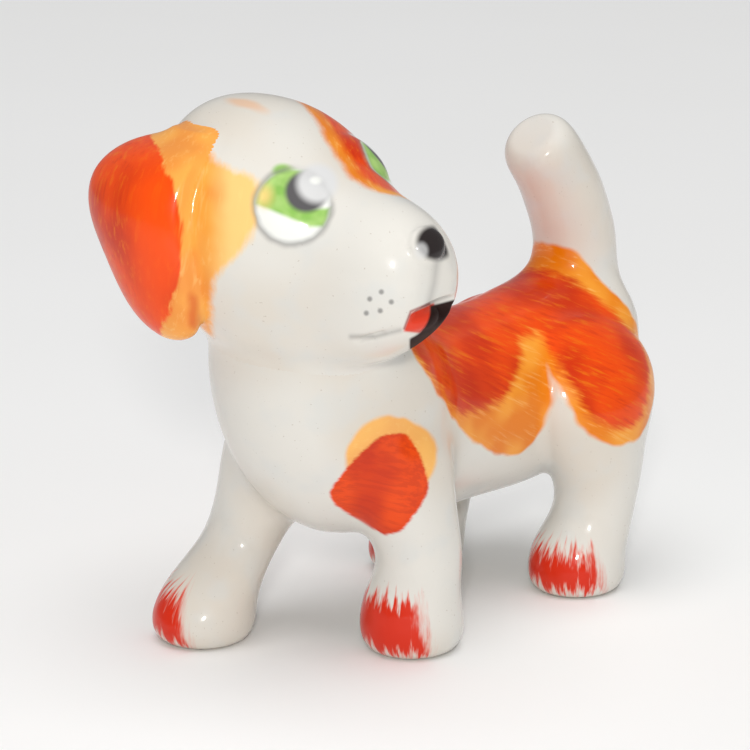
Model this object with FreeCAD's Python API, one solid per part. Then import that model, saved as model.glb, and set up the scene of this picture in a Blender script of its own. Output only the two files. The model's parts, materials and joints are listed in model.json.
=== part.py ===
"""Standing puppy figurine in glazed porcelain, as the hollow cast pieces that are luted together.

Row frame: millimetres, +Z up, origin at the middle of the object's underside. The puppy walks towards -Y
and looks over its left shoulder, towards +X. Every casting is a loft through a few sections, which are
written as shares of the driving dimensions. It is hollow, with one wall thickness, and is trimmed to the
skin of the casting that it is stuck to, so neighbours meet face to face along their luting seams.
"""
import FreeCAD, Part

import math
import os
from FreeCAD import Matrix, Placement, Rotation, Vector

# ---- driving dimensions, mm and degrees ----
WALL = 2.6            # thickness that the slip builds up in the mould
SOLE_WALL = 3.4       # floor of each paw
BELLY_VENT_R = 1.6    # firing vent through the belly
AIR_HOLE_R = 1.5      # air hole from the torso into each hollow limb

BODY_LENGTH = 85.5    # rump to the middle of the neck
BODY_WIDTH = 40.0     # across the chest
BARREL_DEPTH = 37.0   # back to belly
BELLY_HEIGHT = 21.0   # ground to belly
NECK_RISE = 32.5      # barrel axis to the open end of the neck

FRONT_TRACK = 31.8    # paw centre to paw centre, left to right
REAR_TRACK = 31.6
SHANK_R = 8.1         # leg at its narrowest
PAW_R = 9.4           # paw at its widest
PAW_HEIGHT = 10.5
SHOULDER_TO_NECK = 11.0   # front legs' roots behind the middle of the neck
HIP = 20.5            # rear legs' roots ahead of the rump
LEFT_FRONT_STEP = -2.9    # how far each paw stands ahead of its leg's root
RIGHT_FRONT_STEP = 20.5
LEFT_REAR_STEP = 3.8
RIGHT_REAR_STEP = 16.3

TAIL_R = 8.2
TAIL_AHEAD = 9.5      # root of the tail ahead of the rump
TAIL_SINK = 10.5      # and below the top of the back
TAIL_RISE = 40.0      # root to tip, upwards
TAIL_SWEEP = 14.0     # how far the tip leans forward of the root

HEAD_LENGTH = 62.6    # back of the skull to the tip of the muzzle
HEAD_WIDTH = 43.0
HEAD_HEIGHT = 47.0
HEAD_YAW = 88.0       # turned to the puppy's left
HEAD_ROLL = 8.0       # left side of the head lifted
HEAD_LIFT = 9.5       # centre of the skull above the open end of the neck
HEAD_FORWARD = 3.5    # and ahead of it
HEAD_SHIFT = -3.0     # and to the puppy's left

EAR_LENGTH = 35.5
EAR_WIDTH = 22.5
EAR_THICKNESS = 10.0
EAR_BELOW_CROWN = 4.0     # top of an ear below the crown of the skull
LEFT_EAR_DROP = 12.0  # the left ear is stuck on lower than the right one
LEFT_EAR_BACK = 3.0   # and further back

EYE_R = 8.0           # eyeball, mostly sunk in the skull
EYE_DEPTH = 9.6
EYE_BULGE = 1.2       # what stands proud of the skull
EYE_YAW = 30.0        # right eye, round from the muzzle and up
EYE_LIFT = 22.0
LEFT_EYE_YAW = 37.0   # the left eye sits further back and higher
LEFT_EYE_LIFT = 31.0
NOSE_WIDTH = 7.6
NOSE_HEIGHT = 6.6
NOSE_BULGE = 1.6      # stands proud of the muzzle
NOSE_LIFT = 3.0
LIP_R = 5.4           # the two puffed upper lips
LIP_LENGTH = 18.0
LIP_SPREAD = 3.7      # centre of each lip to the middle of the muzzle
LIP_DROP = 0.535      # centre of the lips below the tip of the muzzle
MOUTH_DROP = 6.135    # middle of the open mouth below the tip of the muzzle
MOUTH_WIDTH = 13.5
MOUTH_OPENING = 5.6
MOUTH_DEPTH = 3.4
TONGUE_WIDTH = 8.6
TONGUE_THICKNESS = 4.2
TONGUE_LENGTH = 5.78
TONGUE_SINK = 0.7     # the tongue's middle below the middle of the mouth
TONGUE_SHIFT = 1.8    # the tongue lies towards the right corner of the mouth
GROOVE_DEPTH = 1.0    # line from the open mouth back to each corner
GROOVE_WIDTH = 1.3
GROOVE_REACH = 9.0    # half length of the groove's flat oval
GROOVE_SPREAD = 27.0  # its full width
GROOVE_DROP = 9.135   # below the tip of the muzzle
GROOVE_TILT = 20.0    # rises towards the front
RING_POINTS = 16      # points that carry the curve of one section
NECK_OVERSHOOT = 0.15     # share of the neck's rise by which its hollow runs out of the open end
LEG_TOP_ROW = 6       # section of a leg that is level with the belly

X_AXIS, Y_AXIS, Z_AXIS = Vector(1, 0, 0), Vector(0, 1, 0), Vector(0, 0, 1)
RUMP_Y = 51.5         # rump behind the working origin, which is centred at the end
BARREL_AXIS = BELLY_HEIGHT + BARREL_DEPTH / 2
SHOULDER = BODY_LENGTH - SHOULDER_TO_NECK
TAIL_ROOT = Vector(0, RUMP_Y - TAIL_AHEAD, BELLY_HEIGHT + BARREL_DEPTH - TAIL_SINK)
EAR_TOP = HEAD_HEIGHT / 2 - EAR_BELOW_CROWN

# along the body, rise up the neck, pitch in degrees, half width, above, below
TORSO_SECTIONS = [
    (0.000, 0.30, 0, 0.17, 0.18, 0.18),
    (0.018, 0.27, 0, 0.55, 0.60, 0.62),
    (0.076, 0.18, 0, 0.76, 0.90, 0.90),
    (0.181, 0.08, 0, 0.82, 0.97, 1.07),
    (0.298, 0.01, 0, 0.83, 0.98, 1.10),
    (0.485, -0.02, 0, 0.80, 0.97, 1.06),
    (0.649, 0.01, 3, 0.83, 0.97, 1.13),
    (0.766, 0.08, 20, 0.94, 0.97, 1.30),
    (0.871, 0.28, 45, 1.04, 0.95, 1.38),
    (0.947, 0.54, 68, 1.00, 0.96, 1.10),
    (0.988, 0.82, 82, 0.86, 0.90, 0.84),
    (1.000, 1.00, 90, 0.78, 0.83, 0.70),
]

# height step, lean to the root, share of the track, set back, half width, half length; a height step is
# 0 to 1 up the paw, 1 to 2 up the shank to the belly, and 2 to 3 up the barrel; half sizes are shares of
# the paw's radius below step 1 and of the shank's radius above it
FRONT_LEG_SECTIONS = [
    (0.00, 0.00, 1.00, 0.00, 0.75, 0.75),
    (0.08, 0.00, 1.00, 0.00, 0.89, 0.91),
    (0.30, 0.00, 1.00, 0.00, 1.00, 1.04),
    (0.65, 0.04, 1.00, 0.00, 1.00, 1.04),
    (1.15, 0.20, 1.02, 0.10, 1.05, 1.10),
    (1.65, 0.42, 1.04, 0.30, 0.97, 1.02),
    (2.08, 0.62, 0.94, 0.25, 1.12, 1.14),
    (2.30, 0.80, 0.83, 0.12, 1.28, 1.40),
    (2.52, 0.95, 0.82, 0.00, 1.20, 1.44),
    (2.75, 1.00, 0.66, 0.00, 0.98, 1.22),
    (2.92, 1.00, 0.54, 0.00, 0.55, 0.70),
]
REAR_LEG_SECTIONS = [
    (0.00, 0.00, 1.00, 0.00, 0.75, 0.77),
    (0.08, 0.00, 1.00, 0.00, 0.89, 0.93),
    (0.30, 0.00, 1.00, 0.00, 0.98, 1.04),
    (0.65, 0.02, 1.00, 0.03, 0.98, 1.04),
    (1.10, 0.08, 1.02, 0.23, 1.06, 1.10),
    (1.55, 0.18, 1.05, 0.42, 0.99, 1.01),
    (2.00, 0.28, 1.05, 0.44, 1.04, 1.09),
    (2.16, 0.48, 0.98, 0.30, 1.23, 1.38),
    (2.36, 0.82, 0.88, 0.10, 1.50, 1.82),
    (2.55, 1.00, 0.80, 0.10, 1.52, 1.96),
    (2.74, 1.00, 0.66, 0.12, 1.24, 1.70),
    (2.90, 1.00, 0.42, 0.00, 0.62, 0.95),
]

# rise, sweep forward, pitch in degrees, radius
TAIL_SECTIONS = [
    (-0.06, 0.50, 116, 1.30),
    (0.10, 0.16, 110, 1.26),
    (0.25, -0.08, 96, 1.12),
    (0.42, -0.12, 82, 1.02),
    (0.60, 0.03, 72, 0.98),
    (0.76, 0.27, 63, 0.95),
    (0.89, 0.54, 56, 0.92),
    (0.97, 0.73, 50, 0.84),
    (1.01, 0.83, 48, 0.56),
]

# along the head, lift, half width, above, below
SKULL_BACK = 0.34     # share of the head's length that is behind the centre of the skull
SKULL_SECTIONS = [
    (0.000, 0.02, 0.14, 0.14, 0.14),
    (0.021, 0.02, 0.40, 0.42, 0.42),
    (0.085, 0.01, 0.68, 0.76, 0.72),
    (0.196, 0.00, 0.91, 0.93, 0.99),
    (0.324, -0.03, 1.00, 0.97, 1.11),
    (0.452, -0.07, 0.98, 0.91, 1.12),
    (0.572, -0.13, 0.85, 0.78, 1.01),
    (0.684, -0.18, 0.69, 0.66, 0.84),
    (0.804, -0.22, 0.57, 0.60, 0.67),
    (0.907, -0.22, 0.48, 0.50, 0.50),
    (0.971, -0.21, 0.34, 0.34, 0.36),
    (1.000, -0.19, 0.13, 0.13, 0.13),
]

# down the ear, set back, out, half width, half thickness
EAR_SECTIONS = [
    (0.00, 5.0, 0.46, 0.26, 0.26),
    (0.07, 7.5, 0.66, 0.42, 0.44),
    (0.20, 10.0, 0.92, 0.54, 0.52),
    (0.38, 9.5, 1.04, 0.54, 0.52),
    (0.58, 7.5, 1.06, 0.50, 0.50),
    (0.78, 5.5, 1.06, 0.43, 0.46),
    (0.93, 4.0, 1.05, 0.30, 0.34),
    (1.00, 3.5, 1.04, 0.12, 0.16),
]


# ---- section helpers ----
def section(centre, side, up, half_side, half_up, half_down):
    """Closed smooth section: an ellipse that may be deeper below its centre than above it."""
    points = []
    for k in range(RING_POINTS):
        angle = 2 * math.pi * k / RING_POINTS
        reach = half_up if math.sin(angle) >= 0 else half_down
        points.append(centre + side * (half_side * math.cos(angle)) + up * (reach * math.sin(angle)))
    curve = Part.BSplineCurve()
    curve.interpolate(points, PeriodicFlag=True)
    return Part.Wire(curve.toShape())


def loft(sections):
    return Part.makeLoft(sections, True, False)


def main_solid(shape):
    """The casting itself, without the crumbs that a trim may leave."""
    return max(shape.Solids, key=lambda solid: solid.Volume)


# ---- torso ----
def torso_form(inset=0.0, rows=TORSO_SECTIONS):
    sections = []
    for along, rise, pitch, half_width, above, below in rows:
        centre = Vector(0, RUMP_Y - along * BODY_LENGTH, BARREL_AXIS + rise * NECK_RISE)
        up = Vector(0, math.sin(math.radians(pitch)), math.cos(math.radians(pitch)))
        sections.append(section(centre, X_AXIS, up, half_width * BODY_WIDTH / 2 - inset,
                                above * BARREL_DEPTH / 2 - inset, below * BARREL_DEPTH / 2 - inset))
    return loft(sections)


# ---- legs ----
def leg_height(step):
    if step <= 1:
        return step * PAW_HEIGHT
    if step <= 2:
        return PAW_HEIGHT + (step - 1) * (BELLY_HEIGHT - PAW_HEIGHT)
    return BELLY_HEIGHT + (step - 2) * BARREL_DEPTH


def leg_centre(row, side, track, stride, root):
    step, lean, out, back = row[:4]
    ahead = root + (1 - lean) * stride - back * SHANK_R
    return Vector(side * out * track / 2, RUMP_Y - ahead, leg_height(step))


def leg_form(rows, side, track, stride, root, inset=0.0):
    """Leg on one side (+1 left, -1 right), from its paw to its root inside the torso."""
    sections = []
    for row in rows:
        girth = PAW_R if row[0] < 1 else SHANK_R
        half_width = row[4] * girth - inset
        half_length = row[5] * girth - inset
        sections.append(section(leg_centre(row, side, track, stride, root), X_AXIS, Y_AXIS,
                                half_width, half_length, half_length))
    return loft(sections)


# ---- tail ----
def tail_form(inset=0.0, rows=TAIL_SECTIONS):
    sections = []
    for rise, sweep, pitch, radius in rows:
        centre = TAIL_ROOT + Vector(0, -sweep * TAIL_SWEEP, rise * TAIL_RISE)
        up = Vector(0, math.sin(math.radians(pitch)), math.cos(math.radians(pitch)))
        half = radius * TAIL_R - inset
        sections.append(section(centre, X_AXIS, up, half, half, half))
    return loft(sections)


# ---- head, modelled about the centre of the skull with the muzzle towards +X ----
def skull_form(inset=0.0, rows=SKULL_SECTIONS):
    sections = []
    for along, lift, half_width, above, below in rows:
        centre = Vector((along - SKULL_BACK) * HEAD_LENGTH, 0, lift * HEAD_HEIGHT / 2)
        sections.append(section(centre, Y_AXIS, Z_AXIS, half_width * HEAD_WIDTH / 2 - inset,
                                above * HEAD_HEIGHT / 2 - inset, below * HEAD_HEIGHT / 2 - inset))
    return loft(sections)


def ear_form(side):
    sections = []
    for down, back, out, half_width, half_thickness in EAR_SECTIONS:
        centre = Vector(-back, side * out * HEAD_WIDTH / 2, EAR_TOP - down * EAR_LENGTH)
        sections.append(section(centre, X_AXIS, Y_AXIS, half_width * EAR_WIDTH,
                                half_thickness * EAR_THICKNESS, half_thickness * EAR_THICKNESS))
    ear = loft(sections)
    if side > 0:
        ear.translate(Vector(-LEFT_EAR_BACK, 0, -LEFT_EAR_DROP))
    return ear


def oval(centre, length, width, height, turn=Rotation()):
    """Ellipsoid with full sizes along its own X, Y and Z, turned and then set on its centre."""
    ball = Part.makeSphere(1.0)
    stretch = Matrix(length / 2, 0, 0, 0, 0, width / 2, 0, 0, 0, 0, height / 2, 0, 0, 0, 0, 1)
    shape = ball.transformGeometry(stretch)
    shape.Placement = Placement(centre, turn)
    return shape


def on_skin(yaw, lift):
    """Point and outward normal where a line from the centre of the skull leaves its skin."""
    turn = Rotation(Z_AXIS, yaw).multiply(Rotation(Y_AXIS, -lift))
    line = Part.makeLine(Vector(), turn.multVec(Vector(2 * HEAD_LENGTH, 0, 0)))
    skull = skull_form()
    inside = line.common(skull)
    point = max((vertex.Point for vertex in inside.Vertexes), key=lambda end: end.Length)
    skin = min(skull.Faces, key=lambda face: face.distToShape(Part.Vertex(point))[0])
    normal = skin.normalAt(*skin.Surface.parameter(point))
    if normal.dot(point) < 0:
        normal = -normal
    return point, normal


def eye_form(yaw, lift):
    """Eyeball sunk in the skull, so that only a shallow dome stands proud."""
    point, normal = on_skin(yaw, lift)
    centre = point - normal * (EYE_DEPTH / 2 - EYE_BULGE)
    return oval(centre, EYE_DEPTH, 2 * EYE_R, 2 * EYE_R, Rotation(X_AXIS, normal))


def nose_form():
    point, normal = on_skin(0, NOSE_LIFT)
    return oval(point, 2 * NOSE_BULGE, NOSE_WIDTH, NOSE_HEIGHT, Rotation(X_AXIS, normal))


def muzzle_tip(back, side, drop):
    """Point given from the very tip of the muzzle: how far back, to the left and down."""
    lift = SKULL_SECTIONS[-1][1] * HEAD_HEIGHT / 2
    return Vector((1 - SKULL_BACK) * HEAD_LENGTH - back, side, lift - drop)


def lip_form(side):
    centre = muzzle_tip(LIP_LENGTH / 2, side * LIP_SPREAD, LIP_DROP)
    return oval(centre, LIP_LENGTH, 2 * LIP_R, 2 * LIP_R)


def mouth_cut():
    """Opening under the lips."""
    return oval(muzzle_tip(0, 0, MOUTH_DROP), 2 * MOUTH_DEPTH, MOUTH_WIDTH, MOUTH_OPENING)


def tongue_form():
    centre = muzzle_tip(MOUTH_DEPTH, -TONGUE_SHIFT, MOUTH_DROP + TONGUE_SINK)
    return oval(centre, TONGUE_LENGTH, TONGUE_WIDTH, TONGUE_THICKNESS)


def mouth_line_cut():
    """Shallow groove where a flat tilted oval meets the skin."""
    centre = muzzle_tip(GROOVE_REACH, 0, GROOVE_DROP)
    plate = oval(centre, 2 * GROOVE_REACH, GROOVE_SPREAD, GROOVE_WIDTH, Rotation(Y_AXIS, -GROOVE_TILT))
    return plate.cut(skull_form(GROOVE_DEPTH))


def place_head(shape):
    neck_end = Vector(0, RUMP_Y - BODY_LENGTH, BARREL_AXIS + NECK_RISE)
    centre = neck_end + Vector(HEAD_SHIFT, -HEAD_FORWARD, HEAD_LIFT)
    turn = Rotation(Z_AXIS, HEAD_YAW - 90).multiply(Rotation(X_AXIS, HEAD_ROLL))
    placed = shape.copy()
    placed.Placement = Placement(centre, turn).multiply(shape.Placement)
    return placed


# ---- the castings, hollow and trimmed to one another ----
def make_torso():
    """Hollow barrel, open at the neck, with the belly vent and an air hole into every limb."""
    neck_top = TORSO_SECTIONS[-1]
    overshoot = (neck_top[0], neck_top[1] + NECK_OVERSHOOT) + neck_top[2:]
    hollow = torso_form(WALL, TORSO_SECTIONS[2:] + [overshoot])
    middle = Vector(0, RUMP_Y - BODY_LENGTH / 2, 0)
    holes = [Part.makeCylinder(BELLY_VENT_R, BARREL_AXIS, middle, Z_AXIS)]
    for rows, side, track, stride, root in LEGS.values():
        holes.append(air_hole(leg_centre(rows[LEG_TOP_ROW], side, track, stride, root),
                              Vector(0, RUMP_Y - root, BARREL_AXIS)))
    tail_entry = TAIL_ROOT + Vector(0, 0, TAIL_RISE * TAIL_SECTIONS[2][0])
    holes.append(air_hole(tail_entry, Vector(0, RUMP_Y - HIP, BARREL_AXIS)))
    return main_solid(torso_form().cut([hollow] + holes))


def air_hole(start, end):
    return Part.makeCylinder(AIR_HOLE_R, (end - start).Length, start, end - start)


def make_leg(name, torso_skin):
    """Hollow leg with a flat closed sole, open at its root."""
    hollow = leg_form(*LEGS[name], inset=WALL)
    floor = Part.makeBox(2 * BODY_LENGTH, 2 * BODY_LENGTH, SOLE_WALL, Vector(-BODY_LENGTH, -BODY_LENGTH, 0))
    leg = leg_form(*LEGS[name]).cut([hollow.cut(floor), torso_skin])
    return main_solid(leg)


def make_tail(skins):
    hollow = tail_form(WALL, TAIL_SECTIONS[:-2])
    return main_solid(tail_form().cut([hollow] + skins))


def make_head(torso_skin):
    """Hollow head that fits over the neck, with eyes, nose, lips and tongue raised on it."""
    form = skull_form().fuse([lip_form(1), lip_form(-1)])
    form = form.cut([mouth_cut(), mouth_line_cut()])
    eyes = [eye_form(-EYE_YAW, EYE_LIFT), eye_form(LEFT_EYE_YAW, LEFT_EYE_LIFT)]
    form = form.fuse([tongue_form(), nose_form()] + eyes)
    form = form.cut(skull_form(WALL, SKULL_SECTIONS[2:-2]))
    return main_solid(place_head(form).cut(torso_skin))


def make_ear(side, skins):
    return main_solid(place_head(ear_form(side)).cut(skins))


LEGS = {
    "leg_front_left": (FRONT_LEG_SECTIONS, 1, FRONT_TRACK, LEFT_FRONT_STEP, SHOULDER),
    "leg_front_right": (FRONT_LEG_SECTIONS, -1, FRONT_TRACK, RIGHT_FRONT_STEP, SHOULDER),
    "leg_rear_left": (REAR_LEG_SECTIONS, 1, REAR_TRACK, LEFT_REAR_STEP, HIP),
    "leg_rear_right": (REAR_LEG_SECTIONS, -1, REAR_TRACK, RIGHT_REAR_STEP, HIP),
}


def main():
    torso_skin = torso_form()
    head_skin = place_head(skull_form())
    pieces = {"torso": make_torso(), "head": make_head(torso_skin)}
    pieces["ear_left"] = make_ear(1, [head_skin, torso_skin])
    pieces["ear_right"] = make_ear(-1, [head_skin, torso_skin])
    for name in LEGS:
        pieces[name] = make_leg(name, torso_skin)
    rear_legs = [leg_form(*LEGS["leg_rear_left"]), leg_form(*LEGS["leg_rear_right"])]
    pieces["tail"] = make_tail([torso_skin] + rear_legs)

    box = Part.makeCompound(list(pieces.values())).optimalBoundingBox(False)
    to_origin = Vector(-box.Center.x, -box.Center.y, -box.ZMin)
    os.makedirs("parts", exist_ok=True)
    for name, shape in pieces.items():
        shape.translate(to_origin)
        shape.exportStep("parts/" + name + ".step")
    print("moved to the origin by", to_origin)


main()
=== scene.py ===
import json
import math

import bpy
import numpy as np
from mathutils import Euler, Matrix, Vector
from mathutils.bvhtree import BVHTree
from mathutils.kdtree import KDTree


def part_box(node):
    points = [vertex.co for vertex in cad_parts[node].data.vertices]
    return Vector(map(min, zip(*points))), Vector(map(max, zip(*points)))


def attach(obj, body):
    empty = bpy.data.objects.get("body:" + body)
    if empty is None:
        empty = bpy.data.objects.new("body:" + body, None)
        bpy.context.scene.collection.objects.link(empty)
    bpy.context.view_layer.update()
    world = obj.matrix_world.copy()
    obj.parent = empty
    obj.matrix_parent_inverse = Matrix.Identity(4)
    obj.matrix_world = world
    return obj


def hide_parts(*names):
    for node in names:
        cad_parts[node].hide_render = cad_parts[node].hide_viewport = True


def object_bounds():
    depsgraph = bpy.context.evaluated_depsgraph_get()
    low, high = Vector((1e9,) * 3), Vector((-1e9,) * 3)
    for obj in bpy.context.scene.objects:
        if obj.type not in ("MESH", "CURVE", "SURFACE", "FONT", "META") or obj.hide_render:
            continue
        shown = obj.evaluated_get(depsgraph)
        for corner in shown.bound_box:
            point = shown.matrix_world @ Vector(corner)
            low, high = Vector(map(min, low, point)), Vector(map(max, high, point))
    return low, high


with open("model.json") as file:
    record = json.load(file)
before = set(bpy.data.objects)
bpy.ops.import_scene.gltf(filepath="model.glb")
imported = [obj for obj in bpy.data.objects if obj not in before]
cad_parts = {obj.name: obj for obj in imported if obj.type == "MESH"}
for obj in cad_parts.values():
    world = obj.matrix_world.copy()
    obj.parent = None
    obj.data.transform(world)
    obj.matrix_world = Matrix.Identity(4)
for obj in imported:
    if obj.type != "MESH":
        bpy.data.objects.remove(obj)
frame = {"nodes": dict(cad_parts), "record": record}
cad_low, cad_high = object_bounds()

# ---------------------------------------------------------------- sizes, in metres
MM = 0.001
VOXEL = 0.45 * MM
PLUG_RADIUS = 2.5 * MM     # drum that closes the belly vent
PLUG_DEPTH = 2.2 * MM
PLUG_SIDES = 24
VENT_SHARE = 0.5726        # place of the belly vent along the torso's box
VENT_RECESS = 1.4 * MM     # how far up the vent the drum starts
CAP_SINK = 2.0 * MM        # how far a piece's hidden end cap goes in

# Slip-smoothed joints of the casting: how far each one is sponged, and how hard.
SEAM_REACH = {"leg": 8.5 * MM, "tail": 10 * MM, "neck": 7 * MM, "ear": 2.2 * MM}
SEAM_STRENGTH = {"leg": 1.0, "tail": 1.0, "neck": 0.8, "ear": 0.35}
SEAM_SMOOTH = 6.0 * MM     # length that the sponging spreads a hard corner over
SKIN_SMOOTH = 0.9 * MM     # and the length for the whole skin
RELAX_STEP = 0.6           # share of the way to its neighbours that a vertex goes at a time
BORDER_PASSES = 20

# ---------------------------------------------------------------- head frame
HEAD_YAW = -2.0            # degrees that the muzzle axis turns from +X
HEAD_ROLL = 8.0
FACE_YAW = 43.0            # the painted face's plane, turned from the front
FACE_LIFT = 15.0


def srgb(red, green, blue):
    """A colour given as display values from 0 to 255, as linear light."""
    shares = [channel / 255 for channel in (red, green, blue)]
    return tuple(s / 12.92 if s <= 0.04045 else ((s + 0.055) / 1.055) ** 2.4 for s in shares) + (1.0,)


WHITE = srgb(224, 221, 214)
WHITE_WARM = srgb(219, 212, 201)
WHITE_COOL = srgb(214, 216, 214)
YELLOW = srgb(244, 158, 50)
YELLOW_DEEP = srgb(232, 126, 8)
YELLOW_PALE = srgb(255, 214, 136)
ORANGE = srgb(250, 80, 0)
RED_BRIGHT = srgb(234, 74, 0)
RED_ORANGE = srgb(206, 52, 0)
RED_DEEP = srgb(186, 38, 4)
TOE_RED = srgb(214, 42, 8)
TOE_WASH = srgb(230, 112, 90)
LEAF_GREEN = srgb(176, 212, 124)
LEAF_DARK = srgb(142, 192, 92)
PENCIL_GREY = srgb(128, 126, 124)
PUPIL_GREY = srgb(92, 90, 92)
PALE_GREY = srgb(216, 216, 216)
EYE_WHITE_AND_HIGHLIGHT = srgb(244, 245, 240)
NOSE_BLACK = srgb(42, 36, 36)
FAR_JAW_DARK = srgb(38, 18, 15)
TONGUE_RED = srgb(222, 62, 36)
TONGUE_LINE = srgb(150, 30, 18)
BISQUE = srgb(222, 212, 196)
BISQUE_DARK = srgb(198, 186, 168)
SPECK = srgb(150, 128, 104)
PAPER = srgb(246, 246, 245)
PAPER_LIGHT = srgb(250, 250, 250)

# How each surface shines.
COAT_WEIGHT = 0.34
GLAZE_ROUGHNESS = (0.16, 0.26)
ENAMEL_ROUGHER = 0.12      # what the paint adds to the glaze's roughness
CLAY_ROUGHNESS = 0.85
FAR_JAW_ROUGHNESS = 0.6
SOLE_RING = (0.42, 0.22)   # heights between which the glaze gives way to bare clay, mm
BRUSH_WOBBLE = 1.7         # mm


# ---------------------------------------------------------------- the casting's skin
def node_arrays(name):
    """Corner positions and triangles of a CAD node."""
    mesh = frame["nodes"][name].data
    points = np.empty(len(mesh.vertices) * 3)
    mesh.vertices.foreach_get("co", points)
    mesh.calc_loop_triangles()
    corners = np.empty(len(mesh.loop_triangles) * 3, int)
    mesh.loop_triangles.foreach_get("vertices", corners)
    return points.reshape(-1, 3), corners.reshape(-1, 3)


def plug_arrays():
    """A short closed drum that blocks the belly vent, so that the skin is the outside only."""
    low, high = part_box("torso")
    centre = Vector(((low.x + high.x) / 2, low.y + VENT_SHARE * (high.y - low.y), 0))
    sides = PLUG_SIDES
    turns = [2 * math.pi * step / sides for step in range(sides)]
    rim = [(centre.x + PLUG_RADIUS * math.cos(t), centre.y + PLUG_RADIUS * math.sin(t)) for t in turns]
    bottom = low.z + VENT_RECESS
    points = [(x, y, bottom) for x, y in rim] + [(x, y, bottom + PLUG_DEPTH) for x, y in rim]
    faces = []
    for step in range(sides):
        after = (step + 1) % sides
        faces += [(step, after, sides + after), (step, sides + after, sides + step)]
        faces += [(0, after, step), (sides, sides + step, sides + after)]
    return np.array(points), np.array(faces)


def gather(parts):
    """One point list and one triangle list out of several, and the number of the part of each triangle."""
    points, faces, owner, used = [], [], [], 0
    for number, (part_points, part_faces) in enumerate(parts):
        points.append(part_points)
        faces.append(part_faces + used)
        owner.append(np.full(len(part_faces), number))
        used += len(part_points)
    return np.vstack(points), np.vstack(faces), np.concatenate(owner)


def voxel_skin(points, faces):
    """The outside of all the solids together, as one even net of small four-sided faces."""
    mesh = bpy.data.meshes.new("casting")
    mesh.from_pydata(points.tolist(), [], faces.tolist())
    lump = bpy.data.objects.new("casting", mesh)
    bpy.context.scene.collection.objects.link(lump)
    remesh = lump.modifiers.new("remesh", "REMESH")
    remesh.mode = "VOXEL"
    remesh.voxel_size = VOXEL
    depsgraph = bpy.context.evaluated_depsgraph_get()
    net = bpy.data.meshes.new_from_object(lump.evaluated_get(depsgraph))
    at = np.empty(len(net.vertices) * 3)
    net.vertices.foreach_get("co", at)
    quads = [tuple(polygon.vertices) for polygon in net.polygons]
    quads = np.array([q if len(q) == 4 else q + (q[-1],) for q in quads])
    bpy.data.objects.remove(lump)
    bpy.data.meshes.remove(mesh)
    bpy.data.meshes.remove(net)
    return at.reshape(-1, 3), quads


def net_edges(quads):
    """The net's edges, each once."""
    pairs = np.vstack([quads[:, [i, (i + 1) % 4]] for i in range(4)])
    pairs = pairs[pairs[:, 0] != pairs[:, 1]]
    return np.unique(np.sort(pairs, axis=1), axis=0)


def islands(count, edges):
    """A number for each vertex, the same all over one connected piece of net."""
    label = np.arange(count)
    while True:
        low = np.minimum(label[edges[:, 0]], label[edges[:, 1]])
        after = label.copy()
        np.minimum.at(after, edges[:, 0], low)
        np.minimum.at(after, edges[:, 1], low)
        after = after[after]
        if np.array_equal(after, label):
            return label
        label = after


def outer_island(at, quads):
    """Only the largest connected piece of net, which is the outside of the casting."""
    label = islands(len(at), net_edges(quads))
    numbers, sizes = np.unique(label, return_counts=True)
    keep = label == numbers[np.argmax(sizes)]
    place = np.cumsum(keep) - 1
    return at[keep], place[quads[keep[quads].all(axis=1)]]


def spread(values, edges, degree):
    """The mean over each vertex's neighbours."""
    out = np.empty_like(values)
    for column in range(values.shape[1]):
        total = np.bincount(edges[:, 0], values[edges[:, 1], column], len(values))
        total += np.bincount(edges[:, 1], values[edges[:, 0], column], len(values))
        out[:, column] = total / degree
    return out


def soften(at, edges, weight, length):
    """Moves each vertex towards its neighbours, over about the given length along the skin."""
    degree = np.bincount(edges.ravel(), minlength=len(at))
    step = weight[:, None] * RELAX_STEP
    for _ in range(int((length / VOXEL) ** 2)):
        at = at + step * (spread(at, edges, degree) - at)
    return at


def nearest_part(at, points, faces, owner):
    """The part that each vertex of the net lies on."""
    tree = BVHTree.FromPolygons(points.tolist(), faces.tolist())
    return np.array([owner[tree.find_nearest(Vector(place))[2]] for place in at])


def label_shares(label, count, edges):
    """Each part's share in each vertex, spread until the jagged borders are even."""
    share = np.eye(count)[label]
    degree = np.bincount(edges.ravel(), minlength=len(label))
    for _ in range(BORDER_PASSES):
        share = 0.5 * share + 0.5 * spread(share, edges, degree)
    return share


def seam_kind(first, second):
    """Which joint of the casting two touching nodes make."""
    pair = first + " " + second
    for kind in ("ear", "leg", "tail"):
        if kind in pair:
            return kind
    return "neck"


def seam_weight(at, label, edges, names):
    """How hard each vertex is sponged: most on a joint, none away from it."""
    crossing = edges[label[edges[:, 0]] != label[edges[:, 1]]]
    weight = np.zeros(len(at))
    for kind, reach in SEAM_REACH.items():
        seam = [a for a, b in crossing if seam_kind(names[label[a]], names[label[b]]) == kind]
        if not seam:
            continue
        tree = KDTree(len(seam))
        for number, vertex in enumerate(seam):
            tree.insert(Vector(at[vertex]), number)
        tree.balance()
        away = np.array([tree.find(Vector(place))[2] for place in at])
        share = np.clip(1 - away / reach, 0, 1)
        weight = np.maximum(weight, SEAM_STRENGTH[kind] * share * share * (3 - 2 * share))
    return weight


def vertex_normals(at, quads):
    """Smooth outward normals of the whole skin, shared by the pieces it is cut into."""
    across = at[quads[:, 2]] - at[quads[:, 0]]
    along = at[quads[:, 3]] - at[quads[:, 1]]
    face = np.cross(across, along)
    total = np.zeros_like(at)
    for corner in range(4):
        np.add.at(total, quads[:, corner], face)
    return total / np.maximum(np.linalg.norm(total, axis=1, keepdims=True), 1e-12)


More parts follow.
